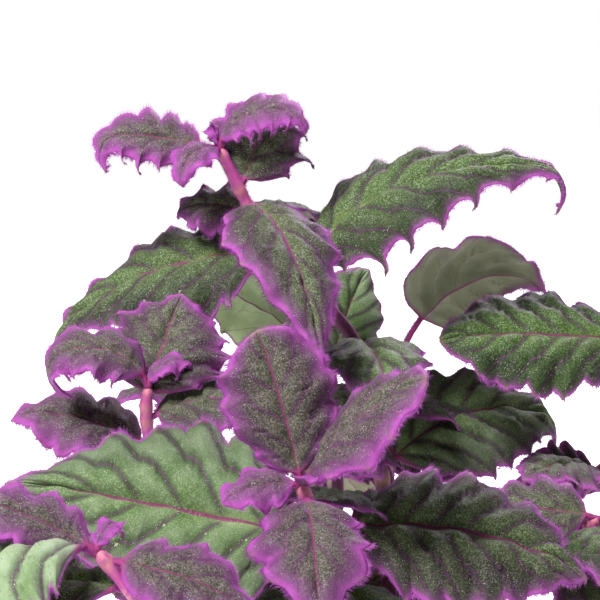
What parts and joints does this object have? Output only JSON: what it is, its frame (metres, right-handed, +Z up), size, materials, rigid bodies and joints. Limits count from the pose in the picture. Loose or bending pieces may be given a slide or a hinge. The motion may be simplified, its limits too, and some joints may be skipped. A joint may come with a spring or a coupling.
{
  "type": "potted purple passion plant",
  "caption": "Potted houseplant with toothed, waved, purple-haired green leaves on magenta stems, in a plain tapered round pot with a rim band.",
  "frame": {"origin": "centre of the pot's flat underside", "axes": "+Z up along the pot's axis; the picture looks along +Y, so -Y faces the viewer and +X is the picture's right"},
  "size_m": [0.2759, 0.2796, 0.2817],
  "materials": {
    "pot_plastic": "satin",
    "potting_soil": "matte",
    "purple_haired_leaf": "matte"
  },
  "bodies": {
    "root": {"pot": "pot_plastic", "soil": "potting_soil", "tall_stem": "purple_haired_leaf", "left_stem": "purple_haired_leaf", "front_stem": "purple_haired_leaf", "front_left_stem": "purple_haired_leaf", "right_stem": "purple_haired_leaf", "back_right_stem": "purple_haired_leaf", "back_stem": "purple_haired_leaf", "back_left_stem": "purple_haired_leaf", "far_back_stem": "purple_haired_leaf", "low_left_stem": "purple_haired_leaf", "low_right_stem": "purple_haired_leaf"}
  },
  "joints": []
}
